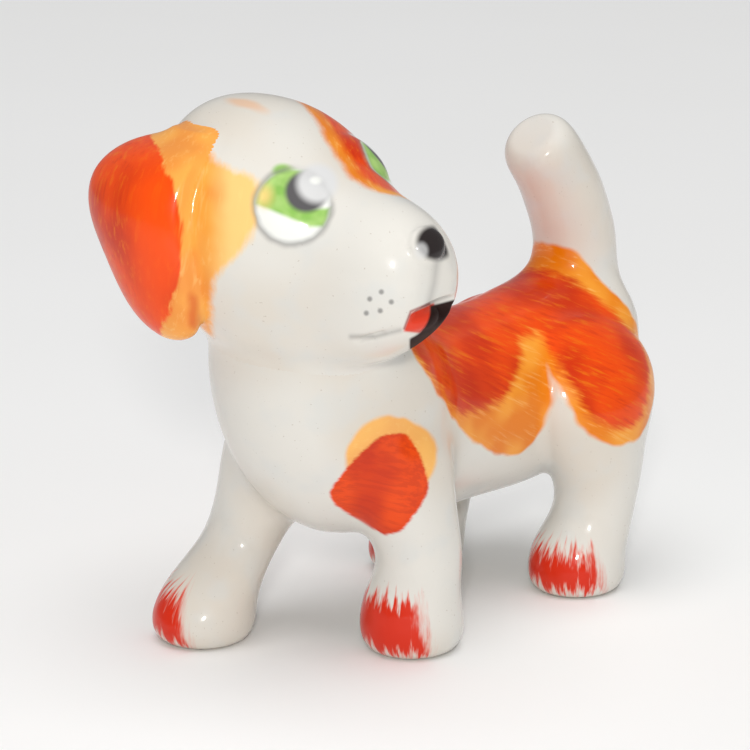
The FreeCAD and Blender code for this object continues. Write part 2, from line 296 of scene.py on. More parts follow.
def tidy_face_labels(face_label, quads, count):
    """Gives small stray patches to the piece around them, so that each piece is one region."""
    for number in range(count):
        mine = np.nonzero(face_label == number)[0]
        own = quads[mine]
        label = islands(quads.max() + 1, net_edges(own))[own[:, 0]]
        numbers, sizes = np.unique(label, return_counts=True)
        for stray in numbers[sizes < sizes.max()]:
            patch = mine[label == stray]
            touching = np.isin(quads, np.unique(quads[patch])).any(axis=1)
            around = face_label[touching & (face_label != number)]
            face_label[patch] = np.bincount(around).argmax() if len(around) else number
    return face_label


def border_loops(faces):
    """The open borders of a region, each as an ordered ring of vertices."""
    sides = {(a, b) for face in faces for a, b in zip(face, face[1:] + face[:1]) if a != b}
    onward = {}
    for a, b in sides:
        if (b, a) not in sides:
            onward.setdefault(a, []).append(b)
    rings = []
    while onward:
        ring = [min(onward)]
        while ring[-1] in onward:
            ways = onward[ring[-1]]
            step = ways.pop()
            if not ways:
                del onward[ring[-1]]
            if step == ring[0]:
                break
            ring.append(step)
        rings.append(ring)
    return rings


def cut_piece(name, at, normals, quads):
    """One closed piece of the casting: its share of the skin, with a sunk cap over each joint."""
    used, faces = np.unique(quads, return_inverse=True)
    faces = [tuple(face) for face in faces.reshape(-1, 4).tolist()]
    faces = [face if face[2] != face[3] else face[:3] for face in faces]
    points = at[used].tolist()
    facing = normals[used].tolist()
    middle = Vector(at[used].mean(axis=0))
    for ring in border_loops(faces):
        centre = sum((Vector(points[vertex]) for vertex in ring), Vector()) / len(ring)
        inward = (middle - centre).normalized()
        points.append(tuple(centre + CAP_SINK * inward))
        facing.append(tuple(-inward))
        hub = len(points) - 1
        faces += [(after, before, hub) for before, after in zip(ring, ring[1:] + ring[:1])]
    mesh = bpy.data.meshes.new(name)
    mesh.from_pydata(points, [], faces)
    mesh.shade_smooth()
    mesh.normals_split_custom_set_from_vertices(facing)
    piece = bpy.data.objects.new(name, mesh)
    bpy.context.scene.collection.objects.link(piece)
    return piece


def cast_pieces():
    """The casting's nine pieces, cut from one sponged skin so that no joint shows as a step."""
    names = sorted(frame["nodes"])
    parts = [node_arrays(name) for name in names]
    at, quads = voxel_skin(*gather(parts + [plug_arrays()])[:2])
    at, quads = outer_island(at, quads)
    edges = net_edges(quads)
    label = nearest_part(at, *gather(parts))
    share = label_shares(label, len(names), edges)
    label = share.argmax(axis=1)
    weight = seam_weight(at, label, edges, names)
    at = soften(at, edges, np.ones(len(at)), SKIN_SMOOTH)
    at = soften(at, edges, weight, SEAM_SMOOTH)
    normals = vertex_normals(at, quads)
    face_label = share[quads].sum(axis=1).argmax(axis=1)
    face_label = tidy_face_labels(face_label, quads, len(names))
    made = {}
    for number, name in enumerate(names):
        made[name] = cut_piece(name + "_glazed", at, normals, quads[face_label == number])
    return made


# ---------------------------------------------------------------- material graph helper
class Graph:
    """Writes one material's nodes. Lengths inside it are millimetres."""

    def __init__(self, name):
        self.material = bpy.data.materials.new(name)
        self.material.use_nodes = True
        self.tree = self.material.node_tree
        self.shader = self.tree.nodes["Principled BSDF"]
        self.place = self.tree.nodes.new("ShaderNodeTexCoord").outputs["Object"]

    def feed(self, socket, source):
        if isinstance(source, bpy.types.NodeSocket):
            self.tree.links.new(source, socket)
        else:
            socket.default_value = source

    def math(self, operation, *terms):
        node = self.tree.nodes.new("ShaderNodeMath")
        node.operation = operation
        for socket, term in zip(node.inputs, terms):
            self.feed(socket, term)
        return node.outputs[0]

    def vector_math(self, operation, *terms):
        node = self.tree.nodes.new("ShaderNodeVectorMath")
        node.operation = operation
        for socket, term in zip(node.inputs, terms):
            self.feed(socket, term)
        return node.outputs["Value" if operation in ("LENGTH", "DISTANCE", "DOT_PRODUCT") else "Vector"]

    def times(self, first, second):
        return self.math("MULTIPLY", first, second)

    def minus(self, first, second):
        return self.math("SUBTRACT", first, second)

    def local(self, source, centre, turn=(0, 0, 0), scale=(1, 1, 1)):
        """Coordinates about a centre, along turned axes."""
        node = self.tree.nodes.new("ShaderNodeMapping")
        node.vector_type = "TEXTURE"
        terms = {"Vector": source, "Location": centre, "Rotation": turn, "Scale": scale}
        for key, term in terms.items():
            self.feed(node.inputs[key], term)
        return node.outputs[0]

    def split(self, vector):
        node = self.tree.nodes.new("ShaderNodeSeparateXYZ")
        self.feed(node.inputs[0], vector)
        return node.outputs[0], node.outputs[1], node.outputs[2]

    def join(self, x, y, z=0.0):
        node = self.tree.nodes.new("ShaderNodeCombineXYZ")
        for socket, term in zip(node.inputs, (x, y, z)):
            self.feed(socket, term)
        return node.outputs[0]

    def noise(self, vector, scale, detail=2.0, roughness=0.5):
        node = self.tree.nodes.new("ShaderNodeTexNoise")
        terms = {"Vector": vector, "Scale": scale, "Detail": detail, "Roughness": roughness}
        for key, term in terms.items():
            self.feed(node.inputs[key], term)
        return node.outputs[0], node.outputs[1]

    def ramp(self, value, start, end, low=0.0, high=1.0):
        """low where the value is at start, high where it is at end, smooth between them."""
        node = self.tree.nodes.new("ShaderNodeMapRange")
        node.interpolation_type = "SMOOTHSTEP"
        terms = {"Value": value, "From Min": start, "From Max": end, "To Min": low, "To Max": high}
        for key, term in terms.items():
            self.feed(node.inputs[key], term)
        return node.outputs[0]

    def inside(self, distance, soft):
        """1 inside an outline, 0 outside it, with an edge of the given softness."""
        return self.ramp(distance, soft / 2, -soft / 2)

    def mix(self, factor, first, second):
        node = self.tree.nodes.new("ShaderNodeMix")
        node.data_type = "RGBA"
        for socket, term in ((node.inputs[0], factor), (node.inputs[6], first), (node.inputs[7], second)):
            self.feed(socket, term)
        return node.outputs[2]

    def union(self, first, second, blend=0.01):
        return self.math("SMOOTH_MIN", first, second, blend)

    def common(self, first, second, blend=0.01):
        return self.math("SMOOTH_MAX", first, second, blend)

    def brushed(self, distance, streak, reach):
        """An outline whose edge runs out and in with the brush marks."""
        return self.math("MULTIPLY_ADD", self.minus(streak, 0.5), reach, distance)

    def disc(self, across, up, centre, radius):
        """Signed distance to a circle."""
        away = self.vector_math("DISTANCE", self.join(across, up), centre + (0,))
        return self.minus(away, radius)

    def polygon(self, across, up, corners, rounding):
        """Signed distance to a convex outline with rounded corners, less than 0 inside it."""
        middle = Vector((sum(c[0] for c in corners), sum(c[1] for c in corners))) / len(corners)
        out = None
        for start, end in zip(corners, corners[1:] + corners[:1]):
            start, end = Vector(start), Vector(end)
            normal = Vector((end.y - start.y, start.x - end.x)).normalized()
            if normal.dot(middle - start) > 0:
                normal = -normal
            partial = self.math("MULTIPLY_ADD", up, normal.y, -normal.dot(start))
            side = self.math("MULTIPLY_ADD", across, normal.x, partial)
            out = side if out is None else self.common(out, side, rounding)
        return out

    def ellipse(self, across, up, centre, radii):
        """Rough signed distance to an ellipse."""
        flat = self.join(across, up)
        scaled = self.local(flat, (centre[0], centre[1], 0), (0, 0, 0), (radii[0], radii[1], 1))
        length = self.vector_math("LENGTH", scaled)
        return self.math("MULTIPLY_ADD", length, min(radii), -min(radii))

    def stroke(self, across, up, start, end, half_width):
        """Signed distance to a round-ended brush stroke."""
        run = Vector(end) - Vector(start)
        turn = math.atan2(run.y, run.x)
        placed = self.local(self.join(across, up), (start[0], start[1], 0), (0, 0, turn))
        along, aside, _ = self.split(placed)
        nearest = self.math("MINIMUM", self.math("MAXIMUM", along, 0.0), run.length)
        gap = self.join(self.minus(along, nearest), aside)
        return self.minus(self.vector_math("LENGTH", gap), half_width)


# ---------------------------------------------------------------- paint shared by all pieces
def wobble(graph, vector):
    """Millimetre coordinates with the slow unsteadiness of a hand-held brush."""
    _, colour = graph.noise(vector, 0.22, 1.0)
    shift = graph.vector_math("SUBTRACT", colour, (0.5, 0.5, 0.5))
    return graph.vector_math("MULTIPLY_ADD", shift, (BRUSH_WOBBLE, BRUSH_WOBBLE, BRUSH_WOBBLE), vector)


def streaks(graph, vector, turn, fineness):
    """Fine brush marks along a direction, from 0 to 1 about 0.5, with so many marks a millimetre each way."""
    turned = graph.local(vector, (0, 0, 0), turn)
    drawn = graph.vector_math("MULTIPLY", turned, fineness)
    marks, _ = graph.noise(drawn, 1.0, 3.0, 0.62)
    return marks


def white_glaze(graph, vector):
    """Off-white glaze, a little warmer and cooler from place to place, with faint specks."""
    broad, _ = graph.noise(vector, 0.035, 1.0)
    base = graph.mix(graph.ramp(broad, 0.38, 0.62), WHITE_WARM, WHITE)
    patch, _ = graph.noise(vector, 0.11, 2.0)
    base = graph.mix(graph.ramp(patch, 0.5, 0.72, 0.0, 0.45), base, WHITE_COOL)
    speck, _ = graph.noise(vector, 1.9, 1.0)
    return graph.mix(graph.ramp(speck, 0.735, 0.79, 0.0, 0.35), base, SPECK)


def red_paint(graph, streak, vector):
    """Red-orange enamel: brushed, thicker in some strokes than in others."""
    tone, _ = graph.noise(vector, 0.09, 1.0)
    paint = graph.mix(graph.ramp(tone, 0.36, 0.62), RED_ORANGE, RED_BRIGHT)
    paint = graph.mix(graph.ramp(streak, 0.5, 0.74, 0.0, 0.55), paint, YELLOW_DEEP)
    return graph.mix(graph.ramp(streak, 0.46, 0.3, 0.0, 0.35), paint, RED_DEEP)


def yellow_paint(graph, streak, vector, thin=0.0):
    """Yellow-orange wash, paler where it is thin."""
    tone, _ = graph.noise(vector, 0.12, 1.0)
    paint = graph.mix(graph.ramp(tone, 0.35, 0.65), YELLOW_DEEP, YELLOW)
    paint = graph.mix(graph.ramp(streak, 0.52, 0.75, 0.0, 0.3), paint, YELLOW_PALE)
    return graph.mix(thin, paint, YELLOW_PALE)


def finish_glaze(graph, vector, colour, painted):
    """Sets the shader: clear coat over the glaze, enamel duller and proud of it, bare clay on the soles."""
    _, _, height = graph.split(vector)
    sole = graph.ramp(height, *SOLE_RING)
    grain, _ = graph.noise(vector, 3.0, 3.0, 0.6)
    clay = graph.mix(graph.ramp(grain, 0.4, 0.65), BISQUE, BISQUE_DARK)
    colour = graph.mix(sole, colour, clay)
    graph.feed(graph.shader.inputs["Base Color"], colour)
    fine, _ = graph.noise(vector, 0.45, 2.0)
    rough = graph.ramp(fine, 0.3, 0.7, *GLAZE_ROUGHNESS)
    rough = graph.math("MULTIPLY_ADD", painted, ENAMEL_ROUGHER, rough)
    rough = graph.math("MAXIMUM", rough, graph.times(sole, CLAY_ROUGHNESS))
    graph.feed(graph.shader.inputs["Roughness"], rough)
    ripple, _ = graph.noise(vector, 0.16, 1.0)
    relief = graph.math("MULTIPLY_ADD", painted, 0.25, graph.times(ripple, 0.8))
    relief = graph.math("MULTIPLY_ADD", graph.times(grain, sole), 0.5, relief)
    bump = graph.tree.nodes.new("ShaderNodeBump")
    bump.inputs["Strength"].default_value = 0.35
    bump.inputs["Distance"].default_value = 0.12 * MM
    graph.feed(bump.inputs["Height"], relief)
    graph.tree.links.new(bump.outputs[0], graph.shader.inputs["Normal"])
    graph.shader.inputs["Coat Weight"].default_value = COAT_WEIGHT
    graph.shader.inputs["Specular IOR Level"].default_value = 0.3
    graph.shader.inputs["Coat Roughness"].default_value = 0.05
    graph.shader.inputs["Coat IOR"].default_value = 1.5
    graph.shader.inputs["IOR"].default_value = 1.36
    return graph.material


def dull_part(graph, dull):
    """Takes the shine off where the mask is 1."""
    roughness = graph.shader.inputs["Roughness"]
    rough = graph.math("MAXIMUM", roughness.links[0].from_socket, graph.times(dull, FAR_JAW_ROUGHNESS))
    graph.feed(roughness, rough)
    coat = graph.math("MULTIPLY_ADD", dull, -COAT_WEIGHT, COAT_WEIGHT)
    graph.feed(graph.shader.inputs["Coat Weight"], coat)


def real_millimetres(graph):
    return graph.local(graph.place, (0, 0, 0), (0, 0, 0), (MM, MM, MM))


# ---------------------------------------------------------------- the body's paint
torso_low, torso_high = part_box("torso")
BODY_ORIGIN = Vector(((torso_low.x + torso_high.x) / 2, (torso_low.y + torso_high.y) / 2, 0))

# Outlines on the flank: (towards the tail, up) from the middle of the body, in mm.
SADDLE = [
    [(-25, 80), (-25, 58), (-15, 44.5), (-6, 36.5), (4, 31), (11, 29.8), (14.4, 34), (17.3, 48), (20, 80)],
    [(17.2, 68), (16.4, 41.5), (18, 35.5), (22.3, 31.8), (28, 30), (33, 30.6), (37, 33.8), (46.7, 45.4),
     (35.6, 65.0), (25, 67.5)],
    [(-25, 76), (-25, 58), (-17.2, 47.5), (45.4, 47.5), (35.6, 65.0), (24, 67.5)],
]
SADDLE_RED = [
    [(-24.4, 80), (-24.4, 58), (-14.6, 46), (-9, 42.5), (4.5, 42.5), (14, 51.5), (17, 80)],
    [(18.9, 66), (18.2, 42.5), (19.8, 37.6), (24, 34.2), (30, 33.3), (34.5, 37), (41.3, 47.2),
     (33.7, 59.9), (24, 63)],
    [(-24.4, 74), (-24.4, 58), (-19.4, 52), (38.2, 52), (33.7, 59.9), (24, 63)],
]
FLANK_SPOT = (-2.0, 46.0)
FLANK_SPOT_RADII = (5.6, 4.4)
CHEST_SPOT = (18.7, -33.2, 34.7)
CHEST_RED = [(-9.2, -1.3), (-4.8, 4.8), (0.5, 9.2), (4.8, 9.5), (7.4, 5.7), (9, 0), (8.4, -2.5),
             (4.2, -8.4), (1, -9.4), (-3.4, -7.3), (-8.6, -3.4)]
CHEST_YELLOW = (2.2, 5.0)
CHEST_YELLOW_RADII = (8.2, 7.6)

# Toe paint on each paw: middle of the painted arc and half its width (degrees), top and bottom (mm).
TOES = {
    "sole_front_right": (-22, 46, 10.2, 0.9),
    "sole_front_left": (8, 52, 11.8, 1.0),
    "sole_rear_left": (16, 56, 9.6, 1.4),
    "sole_rear_right": (0, 48, 10.0, 1.2),
}
PAW_RADIUS = 9.4
TOE_SLANT = 0.28           # how much the painted arc shifts round the paw for each mm upwards
TOE_REACH = 15.0           # no toe paint further than this from the middle of a paw
SADDLE_ROUNDING = 3.0
LOBE_BLEND = 1.6           # how softly the saddle's outlines run together


def saddle_outline(graph, across, up, outlines):
    """Signed distance to a patch made of several convex outlines."""
    out = None
    for corners in outlines:
        shape = graph.polygon(across, up, corners, SADDLE_ROUNDING)
        out = shape if out is None else graph.union(out, shape, LOBE_BLEND)
    return out


def paint_saddle(graph, vector, colour):
    """The two-lobed patch over the back: yellow-orange wash with red-orange strokes on top, deepened towards
    the top of the back as painted shade.
    """
    _, across, up = graph.split(wobble(graph, vector))
    streak = streaks(graph, vector, (math.radians(-30), 0, 0), (0.25, 0.11, 1.25))
    outer = saddle_outline(graph, across, up, SADDLE)
    inner = saddle_outline(graph, across, up, SADDLE_RED)
    inner = graph.brushed(inner, streak, 3.6)
    wash = graph.inside(outer, 1.0)
    red = graph.times(graph.inside(inner, 2.4), wash)
    colour = graph.mix(wash, colour, yellow_paint(graph, streak, vector))
    colour = graph.mix(red, colour, red_paint(graph, streak, vector))
    side, along, height = graph.split(vector)
    spot = graph.ellipse(along, height, FLANK_SPOT, FLANK_SPOT_RADII)
    spot = graph.brushed(spot, streak, 5.0)
    spot = graph.times(graph.inside(spot, 3.6), graph.ramp(side, 0.0, 2.0, 0.0, 0.5))
    colour = graph.mix(spot, colour, RED_DEEP)
    # Painted shade: the red is made deeper towards the top of the back, along its upper edge.
    spine_painted_shade = graph.ramp(height, 53.0, 62.0, 0.0, 0.45)
    colour = graph.mix(graph.times(spine_painted_shade, red), colour, RED_DEEP)
    return colour, wash


def paint_chest_spot(graph, vector, colour):
    """The spot over the left shoulder: a red-orange patch on a paler yellow one."""
    placed = graph.local(vector, CHEST_SPOT, (math.radians(90 - FACE_LIFT), 0, math.radians(FACE_YAW)))
    across, up, depth = graph.split(placed)
    loose = graph.split(wobble(graph, placed))
    near = graph.ramp(depth, -9.0, -6.0)
    streak = streaks(graph, placed, (0, 0, math.radians(-14)), (0.10, 1.1, 1.1))
    pale = graph.inside(graph.ellipse(loose[0], loose[1], CHEST_YELLOW, CHEST_YELLOW_RADII), 1.0)
    pale = graph.times(pale, near)
    red = graph.polygon(across, up, CHEST_RED, 1.2)
    red = graph.brushed(red, streak, 0.9)
    red = graph.times(graph.inside(red, 0.7), near)
    colour = graph.mix(pale, colour, yellow_paint(graph, streak, vector, 0.45))
    colour = graph.mix(red, colour, red_paint(graph, graph.ramp(streak, 0.0, 1.0, 0.12, 0.66), vector))
    return colour, graph.math("MAXIMUM", pale, red)


def paint_toes(graph, vector, colour):
    """Red toes, drawn with short upward strokes that leave white between them."""
    masks = None
    for mount in frame["record"]["mounts"]:
        middle, half, top, bottom = TOES[mount["name"]]
        sole = (Vector(mount["pos_m"]) - BODY_ORIGIN) / MM
        east, south, height = graph.split(graph.local(vector, tuple(sole)))
        forward = graph.times(south, -1.0)
        turn = graph.math("ARCTAN2", east, forward)
        arc = graph.times(turn, PAW_RADIUS)
        strokes, _ = graph.noise(graph.join(arc, graph.times(height, 0.16)), 0.75, 3.0, 0.65)
        fine = graph.minus(strokes, 0.5)
        leaning = graph.math("MULTIPLY_ADD", height, TOE_SLANT, arc)
        offset = graph.minus(leaning, math.radians(middle) * PAW_RADIUS + TOE_SLANT * top / 2)
        ends = graph.minus(graph.math("ABSOLUTE", offset), math.radians(half) * PAW_RADIUS)
        tips = graph.math("MULTIPLY_ADD", fine, 9.0, graph.minus(height, top))
        base = graph.math("MULTIPLY_ADD", fine, 9.0, graph.minus(bottom, height))
        shape = graph.common(graph.common(ends, tips, 2.0), base, 0.6)
        shape = graph.math("MULTIPLY_ADD", fine, 6.5, shape)
        reach = graph.minus(graph.vector_math("LENGTH", graph.join(east, south)), TOE_REACH)
        shape = graph.math("MAXIMUM", shape, reach)
        masks = shape if masks is None else graph.math("MINIMUM", masks, shape)
    wash = graph.inside(masks, 3.2)
    solid = graph.inside(graph.math("ADD", masks, 0.9), 2.4)
    colour = graph.mix(graph.times(wash, 0.6), colour, TOE_WASH)
    colour = graph.mix(solid, colour, TOE_RED)
    return colour, solid


def body_material():
    graph = Graph("painted_glaze_body")
    real = real_millimetres(graph)
    vector = graph.local(real, tuple(BODY_ORIGIN / MM))
    colour = white_glaze(graph, vector)
    colour, saddle = paint_saddle(graph, vector, colour)
    colour, chest = paint_chest_spot(graph, vector, colour)
    colour, toes = paint_toes(graph, vector, colour)
    painted = graph.math("MAXIMUM", graph.math("MAXIMUM", saddle, chest), toes)
    return finish_glaze(graph, vector, colour, painted)


# ---------------------------------------------------------------- the head's paint
head_low, head_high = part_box("head")
HEAD_SHARE = Vector((0.3356, 0.4972, 0.5207))     # the skull's middle, along the head's box
HEAD_CENTRE = Vector([low + share * (high - low)
                      for low, share, high in zip(head_low, HEAD_SHARE, head_high)])
HEAD_TURN = Euler((math.radians(HEAD_ROLL), 0, math.radians(HEAD_YAW)))
FACE_TURN = Euler((math.radians(90 - FACE_LIFT), 0, math.radians(FACE_YAW)))
FACE_IN_HEAD = (HEAD_TURN.to_matrix().transposed() @ FACE_TURN.to_matrix()).to_euler()

# Places on the face: (across, up) in the face's plane from the middle of the head, in mm.
EYE = (4.9, 1.3)
EYE_RADIUS = 6.7
EYE_LINE = 0.4              # half the width of the drawn ring
IRIS_FLOORS = (-2.3, -3.6)  # where the green stops: along its sloping edge, and at its lowest
IRIS_SLOPE = 0.42
IRIS_FLICK = (-1.9, 6.2)
IRIS_SMEAR = (-5.0, 1.8)
PUPIL = (2.4, 2.6)
PUPIL_RADIUS = 3.7
PUPIL_LIGHT = (4.2, 4.1)
PUPIL_LIGHT_RADIUS = 3.5
# Where the painted highlight, a small white spot, sits on the pupil.
PUPIL_PAINTED_GLINT = (3.9, 4.6)
FAR_EYE = (1.2, -0.3)
NOSE = (29.6, -5.1)
NOSE_RADII = (3.2, 3.0)
NOSE_FAR = 4.6              # where the nose paint ends on the far side
# Painted highlight on the nose: a light grey spot that stands in for a reflection.
NOSE_PAINTED_HIGHLIGHT = (27.2, -6.6)
CLEFT = [(29.9, -8.2), (29.4, -12.0), (28.6, -15.3)]
SMILE = [(15.1, -21.2), (19.3, -21.2), (23.6, -20.1)]
LIP = [(24.3, -19.8), (25.4, -16.9), (28.6, -15.5)]
TONGUE = [(24.2, -20.3), (25.4, -17.2), (29.4, -15.3), (30.0, -18.0), (28.4, -20.7)]
JAW_CURVE = (23.5, -16.5)
JAW_CURVE_RADIUS = 5.25
JAW_SLOPE = 0.27
JAW_DROP = 23.6
JAW_START = 25.2
WHISKERS = [(18.4, -14.8), (20.4, -13.6), (22.1, -15.3), (20.2, -16.8), (17.8, -17.2)]
WHISKER_RADIUS = 0.42
CHEEK_BAND = [(-40, 26), (-16.7, 15.1), (-10.6, 12.6), (-9.1, 9.5), (-9.2, -15), (-10.2, -24), (-40, -24)]
CHEEK_PATCH = [(-14, 10.6), (-2.1, 6.8), (-0.6, 4), (-0.6, -1.6), (-4, -6.3), (-8.7, -11.3), (-14, -16)]
EAR_DRIP = [(-12.9, -14.5), (-12.9, -19.0)]
EAR_MIDDLE = (-19.5, -4.0)
EAR_MIDDLE_RADII = (4.5, 16.0)
# The far side's patch: (forward, left) on the head, in mm.
BROW_PATCH = [(-8, 13), (5.2, 6.9), (13, 3.5), (21, 0.4), (26, 0.4), (29.2, 2.2), (30.5, 6),
              (30.5, 30), (-8, 30)]
CROWN_SMEAR = (-1.5, -1.6)


def head_coordinates(graph, real):
    """Head axes: x along the muzzle, y to the animal's left, z up through the crown."""
    return graph.local(real, tuple(HEAD_CENTRE / MM), tuple(HEAD_TURN))


def face_coordinates(graph, head):
    return graph.local(head, (0, 0, 0), tuple(FACE_IN_HEAD))


def mirrored(graph, head):
    """Head coordinates with the left side folded on to the right."""
    x, y, z = graph.split(head)
    return graph.join(x, graph.times(graph.math("ABSOLUTE", y), -1.0), z)


def ear_paint_border(graph, across, up):
    """Less than 0 on the red part of the ear, which bows out along its front edge."""
    lift = graph.math("ADD", up, 5.0)
    bow = graph.times(graph.times(lift, lift), 0.017)
    return graph.math("ADD", graph.math("ADD", across, 14.6), bow)


def paint_cheek(graph, head, face, colour):
    """The yellow-orange wash that runs from the near ear to the eye, and the red behind it."""
    across, up, depth = graph.split(wobble(graph, face))
    streak = streaks(graph, face, (0, 0, math.radians(82)), (0.11, 1.0, 1.0))
    band = graph.polygon(across, up, CHEEK_BAND, 1.5)
    patch = graph.polygon(across, up, CHEEK_PATCH, 1.5)
    shape = graph.union(band, patch, 1.5)
    shape = graph.brushed(shape, streak, 1.3)
    mask = graph.times(graph.inside(shape, 2.0), graph.ramp(depth, 2.0, 6.0))
    thin = graph.ramp(across, -11.0, -5.5, 0.1, 0.85)
    colour = graph.mix(mask, colour, yellow_paint(graph, streak, head, thin))
    red = graph.inside(ear_paint_border(graph, across, up), 1.2)
    red = graph.times(red, mask)
    return graph.mix(red, colour, red_paint(graph, streak, head)), mask


def paint_brow(graph, head, colour):
    """The patch over the far eye, red-orange with a yellow-orange border, and a faint smear on the crown."""
    x, y, z = graph.split(wobble(graph, head))
    streak = streaks(graph, head, (0, 0, math.radians(-24)), (0.11, 1.0, 1.0))
    shape = graph.common(graph.polygon(x, y, BROW_PATCH, 2.0), graph.minus(-3.0, z), 3.0)
    shape = graph.brushed(shape, streak, 0.8)
    wash = graph.inside(shape, 2.2)
    red = graph.inside(graph.math("ADD", shape, 2.6), 2.6)
    colour = graph.mix(wash, colour, yellow_paint(graph, streak, head))
    colour = graph.mix(red, colour, red_paint(graph, streak, head))
    smear = graph.inside(graph.ellipse(x, y, CROWN_SMEAR, (4.5, 1.5)), 1.6)
    smear = graph.times(smear, graph.ramp(z, 14.0, 18.0, 0.0, 0.4))
    return graph.mix(smear, colour, YELLOW), wash


def paint_eye(graph, face, side, colour, centre, flip, flourish):
    """A hand-drawn eye: a soft ring, a green crescent and a grey pupil left open at the top, with a painted
    highlight, a small white spot, on the pupil.

    flip is 1 or -1, for which way it looks, and flourish adds the brush's flick and the smear of wash.
    """
    centred = graph.local(face, (centre[0], centre[1], 0), (0, 0, 0), (flip, 1, 1))
    across, up, depth = graph.split(centred)
    near = graph.times(graph.ramp(depth, 7.0, 10.0), side)
    flat = graph.join(across, up)
    radius = graph.vector_math("LENGTH", flat)
    hand, _ = graph.noise(face, 0.35, 1.0)
    loose = graph.math("MULTIPLY_ADD", graph.minus(hand, 0.5), 0.7, radius)
    ball = graph.inside(graph.minus(loose, EYE_RADIUS), 0.5)
    colour = graph.mix(graph.times(ball, near), colour, EYE_WHITE_AND_HIGHLIGHT)
    slope = graph.math("MULTIPLY_ADD", across, IRIS_SLOPE, up)
    below = graph.math("MAXIMUM", graph.minus(IRIS_FLOORS[0], slope),
                       graph.minus(IRIS_FLOORS[1], up))
    open_side = graph.math("MINIMUM", graph.minus(across, 2.0), graph.math("ADD", up, 0.4))
    iris = graph.math("MAXIMUM", graph.minus(loose, EYE_RADIUS - 0.2), below)
    iris = graph.math("MAXIMUM", iris, open_side)
    if flourish:
        iris = graph.union(iris, graph.ellipse(across, up, IRIS_FLICK, (1.7, 1.3)), 1.0)
    iris = graph.times(graph.inside(iris, 1.1), near)
    tint = graph.mix(graph.ramp(hand, 0.3, 0.7), LEAF_GREEN, LEAF_DARK)
    colour = graph.mix(iris, colour, tint)
    if flourish:
        smear = graph.inside(graph.ellipse(across, up, IRIS_SMEAR, (1.4, 1.8)), 2.6)
        smear = graph.times(graph.times(smear, 0.75), near)
        colour = graph.mix(smear, colour, YELLOW_PALE)
    pupil = graph.disc(across, up, PUPIL, PUPIL_RADIUS)
    light = graph.disc(across, up, PUPIL_LIGHT, PUPIL_LIGHT_RADIUS)
    colour = graph.mix(graph.times(graph.inside(pupil, 1.3), near), colour, PUPIL_GREY)
    colour = graph.mix(graph.times(graph.inside(light, 1.9), near), colour, PALE_GREY)
    # Painted highlight: a small white spot on the pupil that stands in for a reflection of the lamps.
    painted_glint = graph.ellipse(across, up, PUPIL_PAINTED_GLINT, (0.9, 0.7))
    colour = graph.mix(graph.times(graph.inside(painted_glint, 0.9), near), colour, EYE_WHITE_AND_HIGHLIGHT)
    ring = graph.math("ABSOLUTE", graph.minus(loose, EYE_RADIUS))
    ring = graph.inside(graph.minus(ring, EYE_LINE), 1.5)
    facing = graph.vector_math("DOT_PRODUCT", graph.vector_math("NORMALIZE", flat), (0.64, 0.77, 0.0))
    ring = graph.times(ring, graph.ramp(facing, 0.9, 0.6, 0.12, 0.7))
    return graph.mix(graph.times(ring, near), colour, PENCIL_GREY)


def drawn_line(graph, across, up, points, half_width, soft):
    """A brush line through a few points."""
    out = None
    for start, end in zip(points, points[1:]):
        part = graph.stroke(across, up, start, end, half_width)
        out = part if out is None else graph.math("MINIMUM", out, part)
    return graph.inside(out, soft)


def paint_muzzle(graph, head, face, folded, colour):
    """Nose with a painted highlight, lip lines, tongue, the near-black crescent on the far side of the jaw,
    which is dull, and the whisker dots.
    """
    across, up, depth = graph.split(face)
    near = graph.ramp(depth, 12.0, 15.0)
    cleft = graph.times(drawn_line(graph, across, up, CLEFT, 0.3, 2.2), 0.5)
    colour = graph.mix(graph.times(cleft, near), colour, PENCIL_GREY)
    smile = graph.times(drawn_line(graph, across, up, SMILE, 0.25, 1.3), 0.6)
    colour = graph.mix(graph.times(smile, near), colour, PENCIL_GREY)
    tongue = graph.inside(graph.polygon(across, up, TONGUE, 0.5), 0.5)
    colour = graph.mix(graph.times(tongue, near), colour, TONGUE_RED)
    lip = graph.times(drawn_line(graph, across, up, LIP, 0.16, 0.5), 0.85)
    colour = graph.mix(graph.times(lip, near), colour, TONGUE_LINE)
    # A near-black, dull crescent on the far side of the jaw, between the tongue and the jaw's outline.
    curve = graph.times(graph.disc(across, up, JAW_CURVE, JAW_CURVE_RADIUS), -1.0)
    roof = graph.math("MULTIPLY_ADD", across, -JAW_SLOPE, graph.math("ADD", up, JAW_DROP))
    jaw = graph.common(graph.common(curve, roof, 0.4), graph.minus(JAW_START, across), 0.6)
    reach = graph.times(graph.inside(jaw, 0.5), graph.ramp(depth, 9.0, 12.0))
    colour = graph.mix(reach, colour, FAR_JAW_DARK)
    _, far, _ = graph.split(head)
    nose = graph.ellipse(across, up, NOSE, NOSE_RADII)
    nose = graph.common(nose, graph.minus(far, NOSE_FAR), 1.5)
    nose = graph.inside(nose, 1.3)
    colour = graph.mix(graph.times(nose, near), colour, NOSE_BLACK)
    # Painted highlight: a light grey spot on the black nose.
    painted_highlight = graph.times(graph.inside(graph.ellipse(across, up, NOSE_PAINTED_HIGHLIGHT, (1.1, 1.4)), 1.0), 0.6)
    colour = graph.mix(graph.times(painted_highlight, near), colour, PALE_GREY)
    side, rise, front = graph.split(folded)
    dots = None
    for place in WHISKERS:
        dot = graph.disc(side, rise, place, WHISKER_RADIUS)
        dots = dot if dots is None else graph.math("MINIMUM", dots, dot)
    dots = graph.inside(dots, 0.5)
    dots = graph.times(dots, graph.ramp(front, 12.0, 15.0, 0.0, 0.8))
    return graph.mix(dots, colour, PENCIL_GREY), reach


